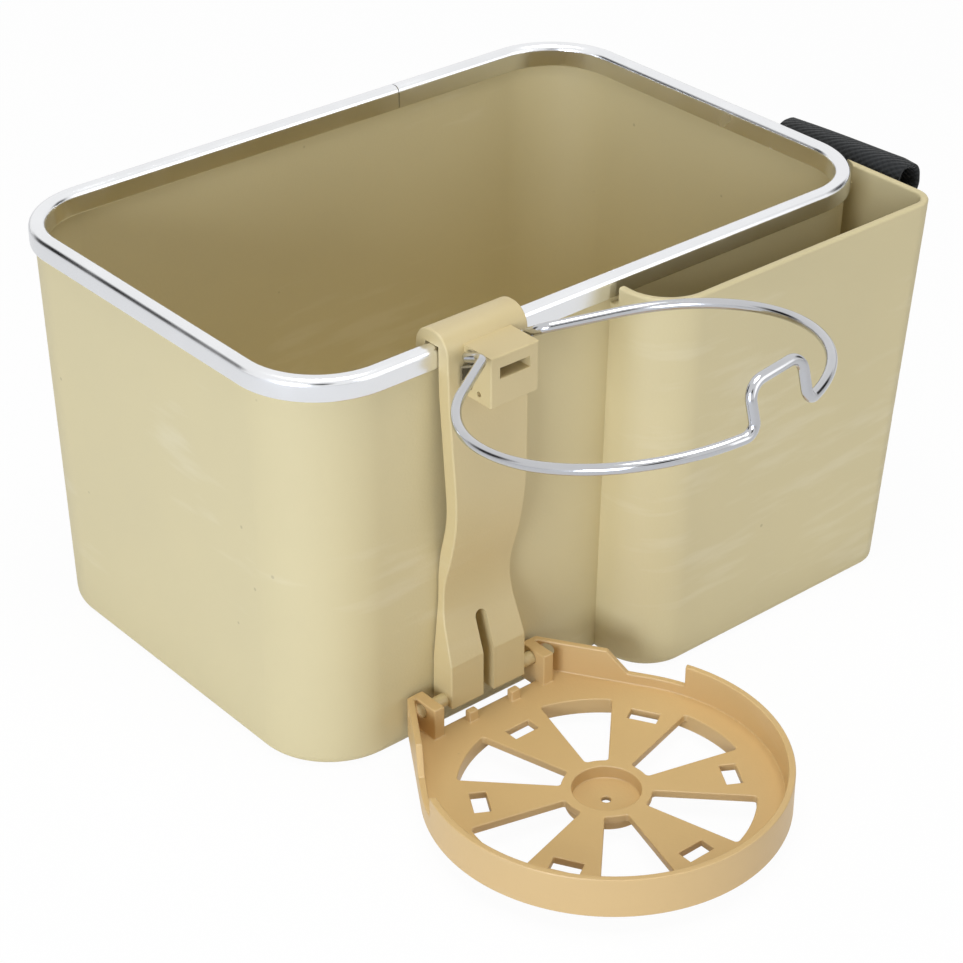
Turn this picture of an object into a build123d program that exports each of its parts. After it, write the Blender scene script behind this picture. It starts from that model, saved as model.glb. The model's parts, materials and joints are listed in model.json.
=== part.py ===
from build123d import *
import math
import os

# Car organizer: a tapered bin with a side pocket, a metal rim trim, a webbing
# loop and a clip-on drink holder with a wire ring and a folding tray.
# Frame: origin at the middle of the bin's base, X along the bin, front at -Y, +Z up.

# Bin moulding
BIN_LENGTH = 165.9        # outside of the wall at the rim
BIN_DEPTH = 110.8         # outside of the wall at the rim
BIN_HEIGHT = 96.65        # base to the wall's top edge
END_DRAFT = 1.04          # slope of the end walls, degrees
SIDE_DRAFT = 1.42         # slope of the long walls, degrees
RIM_CORNER = 19.45        # outside corner radius at the rim
BASE_CORNER = 18.5        # outside corner radius at the base
WALL = 1.8
FLOOR = 2.0
BASE_ROUND = 3.0          # outside rounding of the bottom edge
INSIDE_ROUND = 2.0        # inside rounding of the bottom edge

# Pocket on the right of the front wall
POCKET_LEFT = -1.1        # outer face of the left wall
POCKET_DROP = 1.15        # lip below the wall's top edge
POCKET_DEPTH = 16.4       # front face ahead of the bin's front wall, at the rim
POCKET_OVERHANG = 1.35    # end wall past the bin's end wall, at the rim
POCKET_FRONT_DRAFT = 1.7  # degrees
POCKET_END_DRAFT = 3.65   # degrees
POCKET_LEFT_CORNER = 12.0
POCKET_RIGHT_CORNER = 6.0
POCKET_TURN = 8.0         # end wall runs this far ahead of the bin's corner centre
POCKET_BACK_ANGLE = 45.0  # degrees, turn of the end wall into the bin's corner
POCKET_NOTCH = 1.4        # clearance round the rim trim
LIP_ROUND = 0.6

# Rim trim, a U-shaped moulding pushed over the wall's top edge
TRIM_SHEET = 0.85
TRIM_GAP = 0.2            # between the trim and each face of the wall
TRIM_OUTER_LEG = 5.0      # from the trim's top
TRIM_INNER_LEG = 5.7
TRIM_ROUND = 1.6
TRIM_SEAM = 0.25          # butt joint of the two ends
TRIM_SEAM_X = 28.0

# Webbing loop at the right end
STRAP_WIDTH = 41.0
STRAP_THICKNESS = 1.5
STRAP_MIDDLE = -38.5      # along Y
STRAP_LENGTH = 51.5       # ridge to the lower edge
STRAP_TUCK = 9.5          # wall contact begins this far below the loop
STRAP_GAP = 0.1           # to the wall
STRAP_TRIM_GAP = 1.5      # inner layer to the trim's outer face
STRAP_LOOP = 9.4          # width of the loop
STRAP_RIDGE = 1.0         # ridge below the trim's top
STRAP_LOOP_HEIGHT = 21.0
STRAP_FOLD = 0.42         # rounding of the folds, as a share of the loop's width
STRAP_LEAN = 3.0          # degrees, front end higher

# Holder arm with its hook
HOLDER_X = -38.8          # middle of the holder
HOOK_WIDTH = 21.4
HOOK_WALL = 2.95
HOOK_TOP = 3.3            # thickness over the trim
HOOK_GAP = 0.15           # to the trim's faces
HOOK_LEG = 6.2            # back leg below the trim's top
HOOK_ROUND = 0.94         # rounding of the top, as a share of half the hook's depth
ARM_WAIST = 18.8          # width at mid height
ARM_FOOT = 21.0           # width of the legs
ARM_GAP = 0.28            # legs to the bin's wall
ARM_BOW = 3.2             # rear face off the wall at the bow
ARM_BOW_THICKNESS = 3.75
ARM_BOW_REAR = 57.0       # height of the rear bend
ARM_BOW_FRONT = 55.6      # height of the front bend
ARM_RETURN = 45.0         # height where the rear face reaches the wall
ARM_WAIST_HEIGHT = 35.4
ARM_WAIST_THICKNESS = 0.95
ARM_FLARE_HEIGHT = 20.7
ARM_FOOT_THICKNESS = 6.5
ARM_BEND_REAR = 40.0
ARM_BEND_FRONT = 60.0
ARM_BEND_WAIST = 22.0
ARM_BEND_FLARE = 1.8
ARM_EDGE = 0.4            # rounding of the edges along both sides
LEG_SLOT = 3.0
LEG_SLOT_TOP = 30.0
PIN_RADIUS = 1.5
PIN_HEIGHT = 11.3         # axis above the base
PIN_AHEAD = 4.1           # axis ahead of the legs' rear face
PIN_FIT = 0.05            # radial clearance in the tray's ears

# Box on the arm that carries the ring
BOX_WIDTH = 12.6
BOX_DEPTH = 8.5
BOX_HEIGHT = 11.4
BOX_RISE = 0.5            # top above the trim's top
BOX_EDGE = 0.4
BOX_SLOT = 8.0
BOX_SLOT_HEIGHT = 2.5
BOX_SLOT_DROP = 2.7       # below the box's top
BOX_WALL = 1.9
VENT_RADIUS = 0.6

# Wire ring
WIRE = 2.2
WIRE_FIT = 0.05           # radial clearance in the box
RING_RADIUS = 35.75       # to the wire's middle
RING_REACH = 44.1         # pivot to the ring's centre
RING_TILT = 10.7          # front up, degrees
RING_ROLL = 4.7           # right side up, degrees
RING_RISE = 1.8           # ring plane above the pivot
PIVOT_AHEAD = 2.0         # pivot ahead of the arm's front face
PIVOT_DROP = 1.2          # pivot below the trim's top
LEG_GAP = 0.4             # wire legs to the box's sides
LEG_REACH = 6.2
PIVOT_INSET = 2.0         # wire end to the middle of the box
PIVOT_BEND = 1.4          # bend beside the box
WIRE_BEND = 2.6           # bends of the upright
LEG_BEND = 4.0
UPRIGHT = 9.6             # height of the raised bend
UPRIGHT_LEFT = 8.5        # degrees from the front
UPRIGHT_RIGHT = 14.5      # degrees from the front

# Steel leaf under the wire
LEAF = 0.4
LEAF_GAP = 0.3            # below the wire
LEAF_LENGTH = 5.2
LEAF_DROOP = 4.0          # degrees below the wire's legs

# Folding tray
TRAY_RADIUS = 39.2
TRAY_REACH = 40.6         # pin axis to the tray's centre
TRAY_WALL = 1.5
TRAY_BASE = 4.2           # height of the underside
TRAY_FLOOR = 1.8
TRAY_HEIGHT = 9.4
TRAY_BACK_WIDTH = 36.8
TRAY_BACK = 3.2           # back edge behind the pin axis
TRAY_LOW_WALL = 4.3       # height of the lowered wall
TRAY_DIP_START = 8.05     # lowered wall, along the side
TRAY_DIP_END = 5.2
TRAY_DIP_RAMP = 4.9
SPOKES = 6
WINDOW_INNER = 9.7
WINDOW_OUTER = 31.6
WINDOW_ANGLE = 29.5       # degrees
WINDOW_ROUND = 0.8
SPOKE_HOLE = 6.5
SPOKE_HOLE_WIDTH = 3.5
SPOKE_HOLE_RADIUS = 27.0
HUB_RADIUS = 8.8
HUB_DISH = 7.4
HUB_DEPTH = 3.0
HUB_FLOOR = 1.2
HUB_HOLE = 1.0
RIB_WIDTH = 1.6
RIB_DEPTH = 2.0
EAR_GAP = 3.7             # legs' side to the ear
EAR_THICKNESS = 2.8
EAR_LENGTH = 7.7
FLOOR_OPENING = 1.8       # floor's back edge ahead of the pin axis
NUB_WIDTH = 2.4
NUB_LENGTH = 1.8
NUB_HEIGHT = 2.6
NUB_SPREAD = 6.0
NUB_AHEAD = 2.9           # nub's back ahead of the pin axis

# Heights and faces that follow from the sizes
TRIM_TOP = BIN_HEIGHT + TRIM_SHEET
TRIM_OUT = TRIM_GAP + TRIM_SHEET
TRIM_WIDTH = WALL + 2 * TRIM_OUT
SLOPE = math.tan(math.radians(SIDE_DRAFT))
END_SLOPE = math.tan(math.radians(END_DRAFT))
TRIM_FRONT = -(BIN_DEPTH / 2 + TRIM_OUT)
ARM_FRONT = TRIM_FRONT - HOOK_GAP - HOOK_WALL
PIVOT_Y = ARM_FRONT - PIVOT_AHEAD
PIVOT_Z = TRIM_TOP - PIVOT_DROP


def wall_y(z):
    """Front face of the bin's wall at a height."""
    return -(BIN_DEPTH / 2 - (BIN_HEIGHT - z) * SLOPE)


def wall_x(z):
    """Outer face of the bin's right end wall at a height."""
    return BIN_LENGTH / 2 - (BIN_HEIGHT - z) * END_SLOPE


BOW_FRONT_Y = wall_y(ARM_BOW_FRONT) - ARM_BOW - ARM_BOW_THICKNESS


def arm_y(z):
    """Front face of the arm's upper stretch at a height."""
    share = (TRIM_TOP + HOOK_TOP - z) / (TRIM_TOP + HOOK_TOP - ARM_BOW_FRONT)
    return ARM_FRONT + (BOW_FRONT_Y - ARM_FRONT) * share


PIN_Y = wall_y(PIN_HEIGHT) - ARM_GAP - PIN_AHEAD
LEGS_BOTTOM = PIN_HEIGHT - PIN_RADIUS


def bin_section(z, inset):
    """Rounded rectangle of the bin's wall at a height, moved inwards by inset."""
    corner = BASE_CORNER + (RIM_CORNER - BASE_CORNER) * z / BIN_HEIGHT
    return Pos(0, 0, z) * RectangleRounded(2 * (wall_x(z) - inset), -2 * (wall_y(z) + inset), corner - inset)


def bottom_edges(solid):
    """Edges of the solid's lowest face."""
    return solid.faces().sort_by(Axis.Z)[0].edges()


def tapered(section, low, high, inset, edge):
    """Loft of a section between two heights, with its bottom edge rounded."""
    solid = loft([section(low, inset), section(high, inset)], ruled=True)
    return fillet(bottom_edges(solid), edge)


def pocket_section(z, inset):
    """Plan of the pocket at a height: left wall, front, end wall and the turn to the bin's corner."""
    drop = BIN_HEIGHT - z
    left = POCKET_LEFT + inset
    front = -(BIN_DEPTH / 2 + POCKET_DEPTH) + drop * math.tan(math.radians(POCKET_FRONT_DRAFT)) + inset
    end = BIN_LENGTH / 2 + POCKET_OVERHANG - drop * math.tan(math.radians(POCKET_END_DRAFT)) - inset
    root = -(BIN_DEPTH / 2 - RIM_CORNER)
    turn = root - POCKET_TURN - inset * math.tan(math.radians(POCKET_BACK_ANGLE / 2))
    back = end - (root - turn) * math.tan(math.radians(POCKET_BACK_ANGLE))
    outline = Polyline(
        (left, root), (left, front), (end, front), (end, turn), (back, root), close=True
    )
    face = make_face(outline)
    corners = face.vertices().sort_by(Axis.Y)[:2].sort_by(Axis.X)
    face = fillet(corners[0], POCKET_LEFT_CORNER - inset)
    corners = face.vertices().group_by(Axis.Y)[0].sort_by(Axis.X)
    return Pos(0, 0, z) * fillet(corners[-1], POCKET_RIGHT_CORNER - inset)


def ring_frame(inset, z):
    """Rounded rectangle that follows the trim's outer face, moved inwards by inset."""
    length = BIN_LENGTH + 2 * (TRIM_OUT - inset)
    depth = BIN_DEPTH + 2 * (TRIM_OUT - inset)
    return Pos(0, 0, z) * RectangleRounded(length, depth, RIM_CORNER + TRIM_OUT - inset)


# Bin with its pocket, moulded as one piece
bin_outer = tapered(bin_section, 0, BIN_HEIGHT, 0, BASE_ROUND)
bin_cavity = tapered(bin_section, FLOOR, BIN_HEIGHT + WALL, WALL, INSIDE_ROUND)
POCKET_TOP = BIN_HEIGHT - POCKET_DROP
pocket_outer = tapered(pocket_section, 0, POCKET_TOP, 0, BASE_ROUND)
pocket_cavity = tapered(pocket_section, FLOOR, POCKET_TOP + WALL, WALL, INSIDE_ROUND)
NOTCH_BOTTOM = TRIM_TOP - TRIM_OUTER_LEG - POCKET_NOTCH
notch = extrude(ring_frame(-POCKET_NOTCH, NOTCH_BOTTOM), BIN_HEIGHT)
pocket_shell = pocket_outer - pocket_cavity
lip = pocket_shell.faces().sort_by(Axis.Z)[-1].edges()
pocket_shell = fillet(lip, LIP_ROUND) - notch
bin_body = bin_outer + (pocket_shell - bin_outer) - bin_cavity


# Rim trim: a U-shaped channel along the wall's top edge, open downwards
outer_leg = extrude(ring_frame(0, TRIM_TOP - TRIM_OUTER_LEG), TRIM_OUTER_LEG)
inner_leg = extrude(ring_frame(TRIM_OUT + WALL / 2, TRIM_TOP - TRIM_INNER_LEG), TRIM_INNER_LEG)
trim_opening = extrude(ring_frame(TRIM_WIDTH, TRIM_TOP - TRIM_INNER_LEG), TRIM_INNER_LEG)
trim_blank = outer_leg + inner_leg - trim_opening
trim_blank = fillet(trim_blank.faces().sort_by(Axis.Z)[-1].edges(), TRIM_ROUND)
channel = ring_frame(TRIM_SHEET, TRIM_TOP - TRIM_INNER_LEG) - ring_frame(
    TRIM_WIDTH - TRIM_SHEET, TRIM_TOP - TRIM_INNER_LEG
)
seam = Pos(TRIM_SEAM_X, BIN_DEPTH / 2, TRIM_TOP) * Box(TRIM_SEAM, 4 * TRIM_WIDTH, 4 * TRIM_INNER_LEG)
rim_trim = trim_blank - extrude(channel, TRIM_INNER_LEG - TRIM_SHEET) - seam

# Webbing loop: a doubled strip on the end wall that opens into a loop beside the rim
ridge_z = TRIM_TOP - STRAP_RIDGE
foot_z = ridge_z - STRAP_LENGTH
loop_low = ridge_z - STRAP_LOOP_HEIGHT
tuck_z = loop_low - STRAP_TUCK
foot_x = wall_x(foot_z) + STRAP_GAP
tuck_x = wall_x(tuck_z) + STRAP_GAP
loop_x = BIN_LENGTH / 2 + TRIM_OUT + STRAP_TRIM_GAP
loop_mid = ridge_z - STRAP_LOOP / 2
loop_tip = tuck_x + (loop_x - tuck_x) * (loop_low - tuck_z) / (loop_mid - tuck_z)
loop_right = loop_x + STRAP_LOOP
shoulder_z = loop_mid - STRAP_THICKNESS
strip = make_face(
    Polyline(
        (foot_x, foot_z),
        (tuck_x, tuck_z),
        (loop_x, loop_mid),
        (loop_x + STRAP_THICKNESS / 2, ridge_z),
        (loop_right, ridge_z),
        (loop_right, shoulder_z),
        (loop_tip + 2 * STRAP_THICKNESS, loop_low),
        (tuck_x + 2 * STRAP_THICKNESS, tuck_z),
        (foot_x + 2 * STRAP_THICKNESS, foot_z),
        close=True,
    )
)
inside = make_face(
    Polyline(
        (loop_tip + 0.8 * STRAP_THICKNESS, loop_low + 2 * STRAP_THICKNESS),
        (loop_x + STRAP_THICKNESS, loop_mid),
        (loop_x + 1.5 * STRAP_THICKNESS, ridge_z - STRAP_THICKNESS),
        (loop_right - STRAP_THICKNESS, ridge_z - STRAP_THICKNESS),
        (loop_right - STRAP_THICKNESS, shoulder_z),
        (loop_tip + 1.4 * STRAP_THICKNESS, loop_low + 2 * STRAP_THICKNESS),
        close=True,
    )
)
fold = STRAP_FOLD * STRAP_LOOP
strip = fillet(strip.vertices().sort_by(Axis.Y)[-2:], fold)
strip = fillet(strip.vertices().sort_by(Axis.X)[-1], fold)
inside = fillet(inside.vertices().sort_by(Axis.Y)[-2:], fold - STRAP_THICKNESS)
inside = fillet(inside.vertices().sort_by(Axis.X)[-1], fold - STRAP_THICKNESS)
strip -= inside
strap = extrude(Plane.XZ * strip, STRAP_WIDTH / 2, both=True)
strap = Pos(0, STRAP_MIDDLE, ridge_z) * Rot(-STRAP_LEAN, 0, 0) * Pos(0, 0, -ridge_z) * strap

# Holder arm: hook over the trim, bowed arm and two sprung legs
hook_rear = TRIM_FRONT + TRIM_WIDTH + HOOK_GAP + HOOK_WALL
hook_radius = (hook_rear - ARM_FRONT) / 2
hook_top = TRIM_TOP + HOOK_TOP
foot_front = wall_y(LEGS_BOTTOM) - ARM_GAP - ARM_FOOT_THICKNESS
side = make_face(
    Polyline(
        (hook_rear, TRIM_TOP - HOOK_LEG),
        (hook_rear, hook_top),
        (ARM_FRONT, hook_top),
        (BOW_FRONT_Y, ARM_BOW_FRONT),
        (wall_y(ARM_WAIST_HEIGHT) - ARM_GAP - ARM_WAIST_THICKNESS, ARM_WAIST_HEIGHT),
        (foot_front, ARM_FLARE_HEIGHT),
        (foot_front, LEGS_BOTTOM),
        (wall_y(LEGS_BOTTOM) - ARM_GAP, LEGS_BOTTOM),
        (wall_y(ARM_RETURN) - ARM_GAP, ARM_RETURN),
        (wall_y(ARM_BOW_REAR) - ARM_BOW, ARM_BOW_REAR),
        (TRIM_FRONT - HOOK_GAP, TRIM_TOP - HOOK_LEG),
        (TRIM_FRONT - HOOK_GAP, TRIM_TOP),
        (hook_rear - HOOK_WALL, TRIM_TOP),
        (hook_rear - HOOK_WALL, TRIM_TOP - HOOK_LEG),
        close=True,
    )
)


def near(shape, y, z):
    """Corner of a side profile nearest to a point."""
    return shape.vertices().sort_by_distance((y, z, 0))[0]


def side_edges(solid):
    """Edges round the left and right faces, without those between two such faces."""
    sides = solid.faces().filter_by(lambda face: abs(face.normal_at().X) > 0.9)
    edges = [edge for face in sides for edge in face.edges()]
    return [edge for edge in edges if sum(edge.is_same(other) for other in edges) == 1]


side = fillet(near(side, wall_y(ARM_BOW_REAR) - ARM_BOW, ARM_BOW_REAR), ARM_BEND_REAR)
side = fillet(near(side, wall_y(ARM_RETURN) - ARM_GAP, ARM_RETURN), ARM_BEND_REAR)
side = fillet(near(side, BOW_FRONT_Y, ARM_BOW_FRONT), ARM_BEND_FRONT)
side = fillet(near(side, wall_y(ARM_WAIST_HEIGHT) - ARM_GAP, ARM_WAIST_HEIGHT), ARM_BEND_WAIST)
side = fillet(near(side, foot_front, ARM_FLARE_HEIGHT), ARM_BEND_FLARE)
side = fillet([near(side, hook_rear, hook_top), near(side, ARM_FRONT, hook_top)], HOOK_ROUND * hook_radius)
arm = extrude(Plane.YZ * side, HOOK_WIDTH / 2, both=True)
front = make_face(
    Polyline(
        *[
            (sign * width / 2, z)
            for sign, stations in ((1, 1), (-1, -1))
            for width, z in (
                (HOOK_WIDTH, hook_top),
                (HOOK_WIDTH, TRIM_TOP - BOX_HEIGHT),
                (ARM_WAIST, ARM_BOW_FRONT),
                (ARM_WAIST, ARM_WAIST_HEIGHT),
                (ARM_FOOT, ARM_FLARE_HEIGHT),
                (ARM_FOOT, LEGS_BOTTOM),
            )[::stations]
        ],
        close=True,
    )
)
arm = arm & extrude(Plane.XZ * front, 2 * BIN_DEPTH, both=True)
arm = fillet(side_edges(arm), ARM_EDGE)
leg_slot = Pos(0, 0, LEG_SLOT_TOP - LEG_SLOT / 2) * (
    Cylinder(LEG_SLOT / 2, 2 * BIN_DEPTH, rotation=(90, 0, 0))
    + Pos(0, 0, -LEG_SLOT_TOP / 2) * Box(LEG_SLOT, 2 * BIN_DEPTH, LEG_SLOT_TOP)
)
arm -= leg_slot

# Box on the arm: pivot bore, slot in front, window for the leaf, small hole at the side
box_top = TRIM_TOP + BOX_RISE
box_front = ARM_FRONT - BOX_DEPTH
box_seat = ARM_FRONT + HOOK_WALL / 2
box_middle = (box_front + box_seat) / 2
box = Pos(0, box_middle, box_top - BOX_HEIGHT / 2) * Box(BOX_WIDTH, box_seat - box_front, BOX_HEIGHT)
box = fillet(box.faces().sort_by(Axis.Y)[0].edges(), BOX_EDGE)
slot_z = box_top - BOX_SLOT_DROP - BOX_SLOT_HEIGHT / 2
box -= Pos(0, box_front, slot_z) * Box(BOX_SLOT, BOX_DEPTH, BOX_SLOT_HEIGHT)
arm += box
arm -= Pos(0, PIVOT_Y, PIVOT_Z) * Cylinder(WIRE / 2 + WIRE_FIT, BOX_WIDTH, rotation=(0, 90, 0))
leaf_z = PIVOT_Z - WIRE / 2 - LEAF_GAP
window_low = box_top - BOX_HEIGHT + BOX_WALL
rise = RING_RISE + LEG_REACH * math.sin(math.radians(RING_TILT))
leaf_angle = math.degrees(math.atan2(rise, LEG_REACH * math.cos(math.radians(RING_TILT)))) - LEAF_DROOP
leaf_drop = LEAF_LENGTH / 2 * math.sin(math.radians(leaf_angle))
leaf_reach = LEAF_LENGTH * math.cos(math.radians(leaf_angle))
leaf_low = leaf_z - leaf_drop
leaf_high = leaf_z + leaf_drop
leaf_front = arm_y(leaf_low) - leaf_reach
window = make_face(
    Polyline(
        (arm_y(window_low), window_low),
        (arm_y(leaf_low + LEAF), leaf_low + LEAF),
        (leaf_front - LEAF, leaf_high + 2 * LEAF),
        (leaf_front - LEAF, leaf_high - 2 * LEAF),
        (arm_y(window_low) - BOX_WALL, window_low),
        close=True,
    )
)
arm -= extrude(Plane.YZ * window, BOX_WIDTH / 2, both=True)
vent = Cylinder(VENT_RADIUS, BOX_WALL, rotation=(0, 90, 0))
arm -= Pos(-BOX_WIDTH / 2, box_front + 2 * BOX_WALL, window_low) * vent

# Hinge pins at the legs' sides, reaching through the tray's ears
ear_inner = ARM_FOOT / 2 + EAR_GAP
ear_outer = ear_inner + EAR_THICKNESS
for sign in (-1, 1):
    pin_length = ear_outer - ARM_FOOT / 4
    pin = Cylinder(PIN_RADIUS, pin_length, rotation=(0, 90, 0))
    arm += Pos(sign * (ARM_FOOT / 4 + pin_length / 2), PIN_Y, PIN_HEIGHT) * pin
holder_arm = Pos(HOLDER_X, 0, 0) * arm

# Steel leaf: one leg on the arm's front face, one leg forward under the wire
leaf_line = Polyline(
    (arm_y(window_low) - LEAF, window_low + LEAF),
    (arm_y(window_low) - LEAF, leaf_low - LEAF),
    (leaf_front + LEAF, leaf_high - LEAF),
)
leaf_width = BOX_WIDTH + 2 * LEG_GAP + WIRE
leaf = extrude(Plane.YZ * trace(leaf_line, LEAF), leaf_width / 2, both=True)
detent_spring = Pos(HOLDER_X, 0, 0) * leaf

# Wire ring: pivot ends, legs, flares tangent to the circle and a raised bend at the front
tilt = math.radians(RING_TILT)
roll = math.radians(RING_ROLL)
outward = Vector(0, -math.cos(tilt), math.sin(tilt))
across = Vector(math.cos(roll), 0, math.sin(roll))
across = (across - outward * across.dot(outward)).normalized()
upward = across.cross(outward) * -1
pivot = Vector(HOLDER_X, PIVOT_Y, PIVOT_Z)
ring_origin = pivot + Vector(0, math.sin(tilt), math.cos(tilt)) * RING_RISE
leg_x = BOX_WIDTH / 2 + LEG_GAP + WIRE / 2


def on_ring(u, s, w=0.0):
    """Point from the ring's own axes: across, outward and up."""
    return ring_origin + across * u + outward * s + upward * w


def on_circle(angle):
    """Point and forward tangent of the ring's circle, angle in degrees from its front."""
    a = math.radians(angle)
    point = on_ring(RING_RADIUS * math.sin(a), RING_REACH + RING_RADIUS * math.cos(a))
    return point, across * math.cos(a) - outward * math.sin(a)


def corner(before, at, after, radius):
    """Ends of the arc that rounds a corner, with its direction at the start."""
    d1 = (at - before).normalized()
    d2 = (after - at).normalized()
    turn = math.acos(max(-1.0, min(1.0, d1.dot(d2))))
    length = radius * math.tan(turn / 2)
    return at - d1 * length, at + d2 * length, d1


def half_ring(sign, upright_angle):
    """Edges of one half of the ring, from its pivot end to the middle of the raised bend."""
    start = pivot + Vector(sign * PIVOT_INSET, 0, 0)
    knee = pivot + Vector(sign * leg_x, 0, 0)
    ankle = on_ring(sign * leg_x, LEG_REACH)
    span = math.hypot(leg_x, RING_REACH - LEG_REACH)
    flare = 180 - math.degrees(math.atan2(leg_x, RING_REACH - LEG_REACH) + math.acos(RING_RADIUS / span))
    touch, _ = on_circle(sign * flare)
    a1, a2, t1 = corner(start, knee, ankle, PIVOT_BEND)
    b1, b2, t2 = corner(knee, ankle, touch, LEG_BEND)
    foot_angle = sign * (upright_angle + math.degrees(WIRE_BEND / RING_RADIUS))
    foot, along = on_circle(foot_angle)
    along = along * -sign
    middle, _ = on_circle(sign * (upright_angle + flare) / 2)
    rise1 = foot + (along + upward) * WIRE_BEND
    rise2 = rise1 + upward * (UPRIGHT - 2 * WIRE_BEND)
    edges = [
        Line(start, a1),
        TangentArc(a1, a2, tangent=t1),
        Line(a2, b1),
        TangentArc(b1, b2, tangent=t2),
        Line(b2, touch),
        ThreePointArc(touch, middle, foot),
        TangentArc(foot, rise1, tangent=along),
        Line(rise1, rise2),
    ]
    return edges, rise2


left_edges, left_top = half_ring(-1, UPRIGHT_LEFT)
right_edges, right_top = half_ring(1, UPRIGHT_RIGHT)
bridge = (right_top - left_top).normalized()
left_bend = left_top + (upward + bridge) * WIRE_BEND
right_bend = right_top + (upward - bridge) * WIRE_BEND
top_edges = [
    TangentArc(left_top, left_bend, tangent=upward),
    Line(left_bend, right_bend),
    TangentArc(right_top, right_bend, tangent=upward),
]
ring_path = Wire(left_edges + top_edges + right_edges)
section = Plane(pivot + Vector(-PIVOT_INSET, 0, 0), z_dir=(1, 0, 0)) * Circle(WIRE / 2)
cup_ring = sweep(section, path=ring_path)

# Folding tray: dish with a spoked floor, an outline tangent from the circle to the back corners
tray_y = PIN_Y - TRAY_REACH
back_y = TRAY_REACH + TRAY_BACK
tray_top = TRAY_BASE + TRAY_HEIGHT
floor_top = TRAY_BASE + TRAY_FLOOR


def tray_outline(inset):
    """Circle joined to the two back corners by tangent lines, moved inwards by inset."""
    hull = make_hull(
        [
            Circle(TRAY_RADIUS).edge(),
            Line((-TRAY_BACK_WIDTH / 2, back_y), (TRAY_BACK_WIDTH / 2, back_y)),
        ]
    )
    return hull if inset == 0 else offset(hull, -inset, kind=Kind.INTERSECTION)


tray = Pos(0, 0, TRAY_BASE) * extrude(tray_outline(0), TRAY_HEIGHT)
tray -= Pos(0, 0, floor_top) * extrude(tray_outline(TRAY_WALL), TRAY_HEIGHT)

# Back of the dish is open between the ears, with the floor cut back under the legs
back_opening = 2 * ear_outer
tray -= Pos(0, back_y, tray_top) * Box(back_opening, 4 * TRAY_WALL, 2 * (tray_top - floor_top))
opening_y = back_y - (TRAY_BACK + FLOOR_OPENING) / 2
tray -= Pos(0, opening_y, TRAY_BASE) * Box(2 * ear_inner, TRAY_BACK + FLOOR_OPENING, 4 * TRAY_FLOOR)
ear_y = back_y - EAR_LENGTH / 2
ear = Box(EAR_THICKNESS, EAR_LENGTH, TRAY_HEIGHT)
for sign in (-1, 1):
    tray += Pos(sign * (ear_inner + EAR_THICKNESS / 2), ear_y, TRAY_BASE + TRAY_HEIGHT / 2) * ear
    nub_y = TRAY_REACH - NUB_AHEAD - NUB_LENGTH / 2
    nub = Box(NUB_WIDTH, NUB_LENGTH, NUB_HEIGHT + TRAY_FLOOR)
    tray += Pos(sign * NUB_SPREAD, nub_y, TRAY_BASE + (NUB_HEIGHT + TRAY_FLOOR) / 2) * nub
pin_hole = Cylinder(PIN_RADIUS + PIN_FIT, 2 * TRAY_BACK_WIDTH, rotation=(0, 90, 0))
tray -= Pos(0, TRAY_REACH, PIN_HEIGHT) * pin_hole

# Lowered wall at both sides, with a ramp up towards the back
side_angle = math.degrees(math.atan2(back_y, TRAY_BACK_WIDTH / 2))
side_angle -= math.degrees(math.acos(TRAY_RADIUS / math.hypot(back_y, TRAY_BACK_WIDTH / 2)))
dip = make_face(
    Polyline(
        (-TRAY_DIP_START, TRAY_BASE + TRAY_LOW_WALL),
        (TRAY_DIP_END, TRAY_BASE + TRAY_LOW_WALL),
        (TRAY_DIP_END + TRAY_DIP_RAMP, tray_top),
        (TRAY_DIP_END + TRAY_DIP_RAMP, tray_top + TRAY_WALL),
        (-TRAY_DIP_START, tray_top + TRAY_WALL),
        close=True,
    )
)
dip_plane = Plane((TRAY_RADIUS - 3 * TRAY_WALL, 0, 0), x_dir=(0, 1, 0), z_dir=(1, 0, 0))
dip_cut = Rot(0, 0, side_angle) * extrude(dip_plane * dip, 6 * TRAY_WALL)
tray -= dip_cut
tray -= mirror(dip_cut, Plane.YZ)

# Hub dish, rib under the floor, windows between the spokes and a hole in each spoke
hub_low = floor_top - HUB_DEPTH - HUB_FLOOR
rib_outer = WINDOW_OUTER + RIB_WIDTH
tray += Pos(0, 0, TRAY_BASE - RIB_DEPTH) * extrude(Circle(rib_outer) - Circle(WINDOW_OUTER), RIB_DEPTH)
tray += Pos(0, 0, hub_low) * extrude(Circle(HUB_RADIUS), floor_top - hub_low)
tray -= Pos(0, 0, floor_top - HUB_DEPTH) * extrude(Circle(HUB_DISH), HUB_DEPTH)
tray -= Pos(0, 0, hub_low) * extrude(Circle(HUB_HOLE), HUB_DEPTH)
half = WINDOW_ANGLE / 2
wedge = make_face(
    [
        CenterArc((0, 0), WINDOW_INNER, -half, WINDOW_ANGLE),
        CenterArc((0, 0), WINDOW_OUTER, -half, WINDOW_ANGLE),
        PolarLine((WINDOW_INNER * math.cos(math.radians(half)), WINDOW_INNER * math.sin(math.radians(half))),
                  WINDOW_OUTER - WINDOW_INNER, half),
        PolarLine((WINDOW_INNER * math.cos(math.radians(half)), -WINDOW_INNER * math.sin(math.radians(half))),
                  WINDOW_OUTER - WINDOW_INNER, -half),
    ]
)
wedge = fillet(wedge.vertices(), WINDOW_ROUND)
spoke_hole = Pos(SPOKE_HOLE_RADIUS, 0, 0) * Rectangle(SPOKE_HOLE_WIDTH, SPOKE_HOLE)
cuts = [Rot(0, 0, 360 / SPOKES * k) * wedge for k in range(SPOKES)]
cuts += [Rot(0, 0, 360 / SPOKES * (k + 0.5)) * spoke_hole for k in range(SPOKES)]
for cut in cuts:
    tray -= Pos(0, 0, TRAY_BASE - RIB_DEPTH) * extrude(cut, TRAY_FLOOR + RIB_DEPTH)
cup_tray = Pos(HOLDER_X, tray_y, 0) * tray

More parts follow.
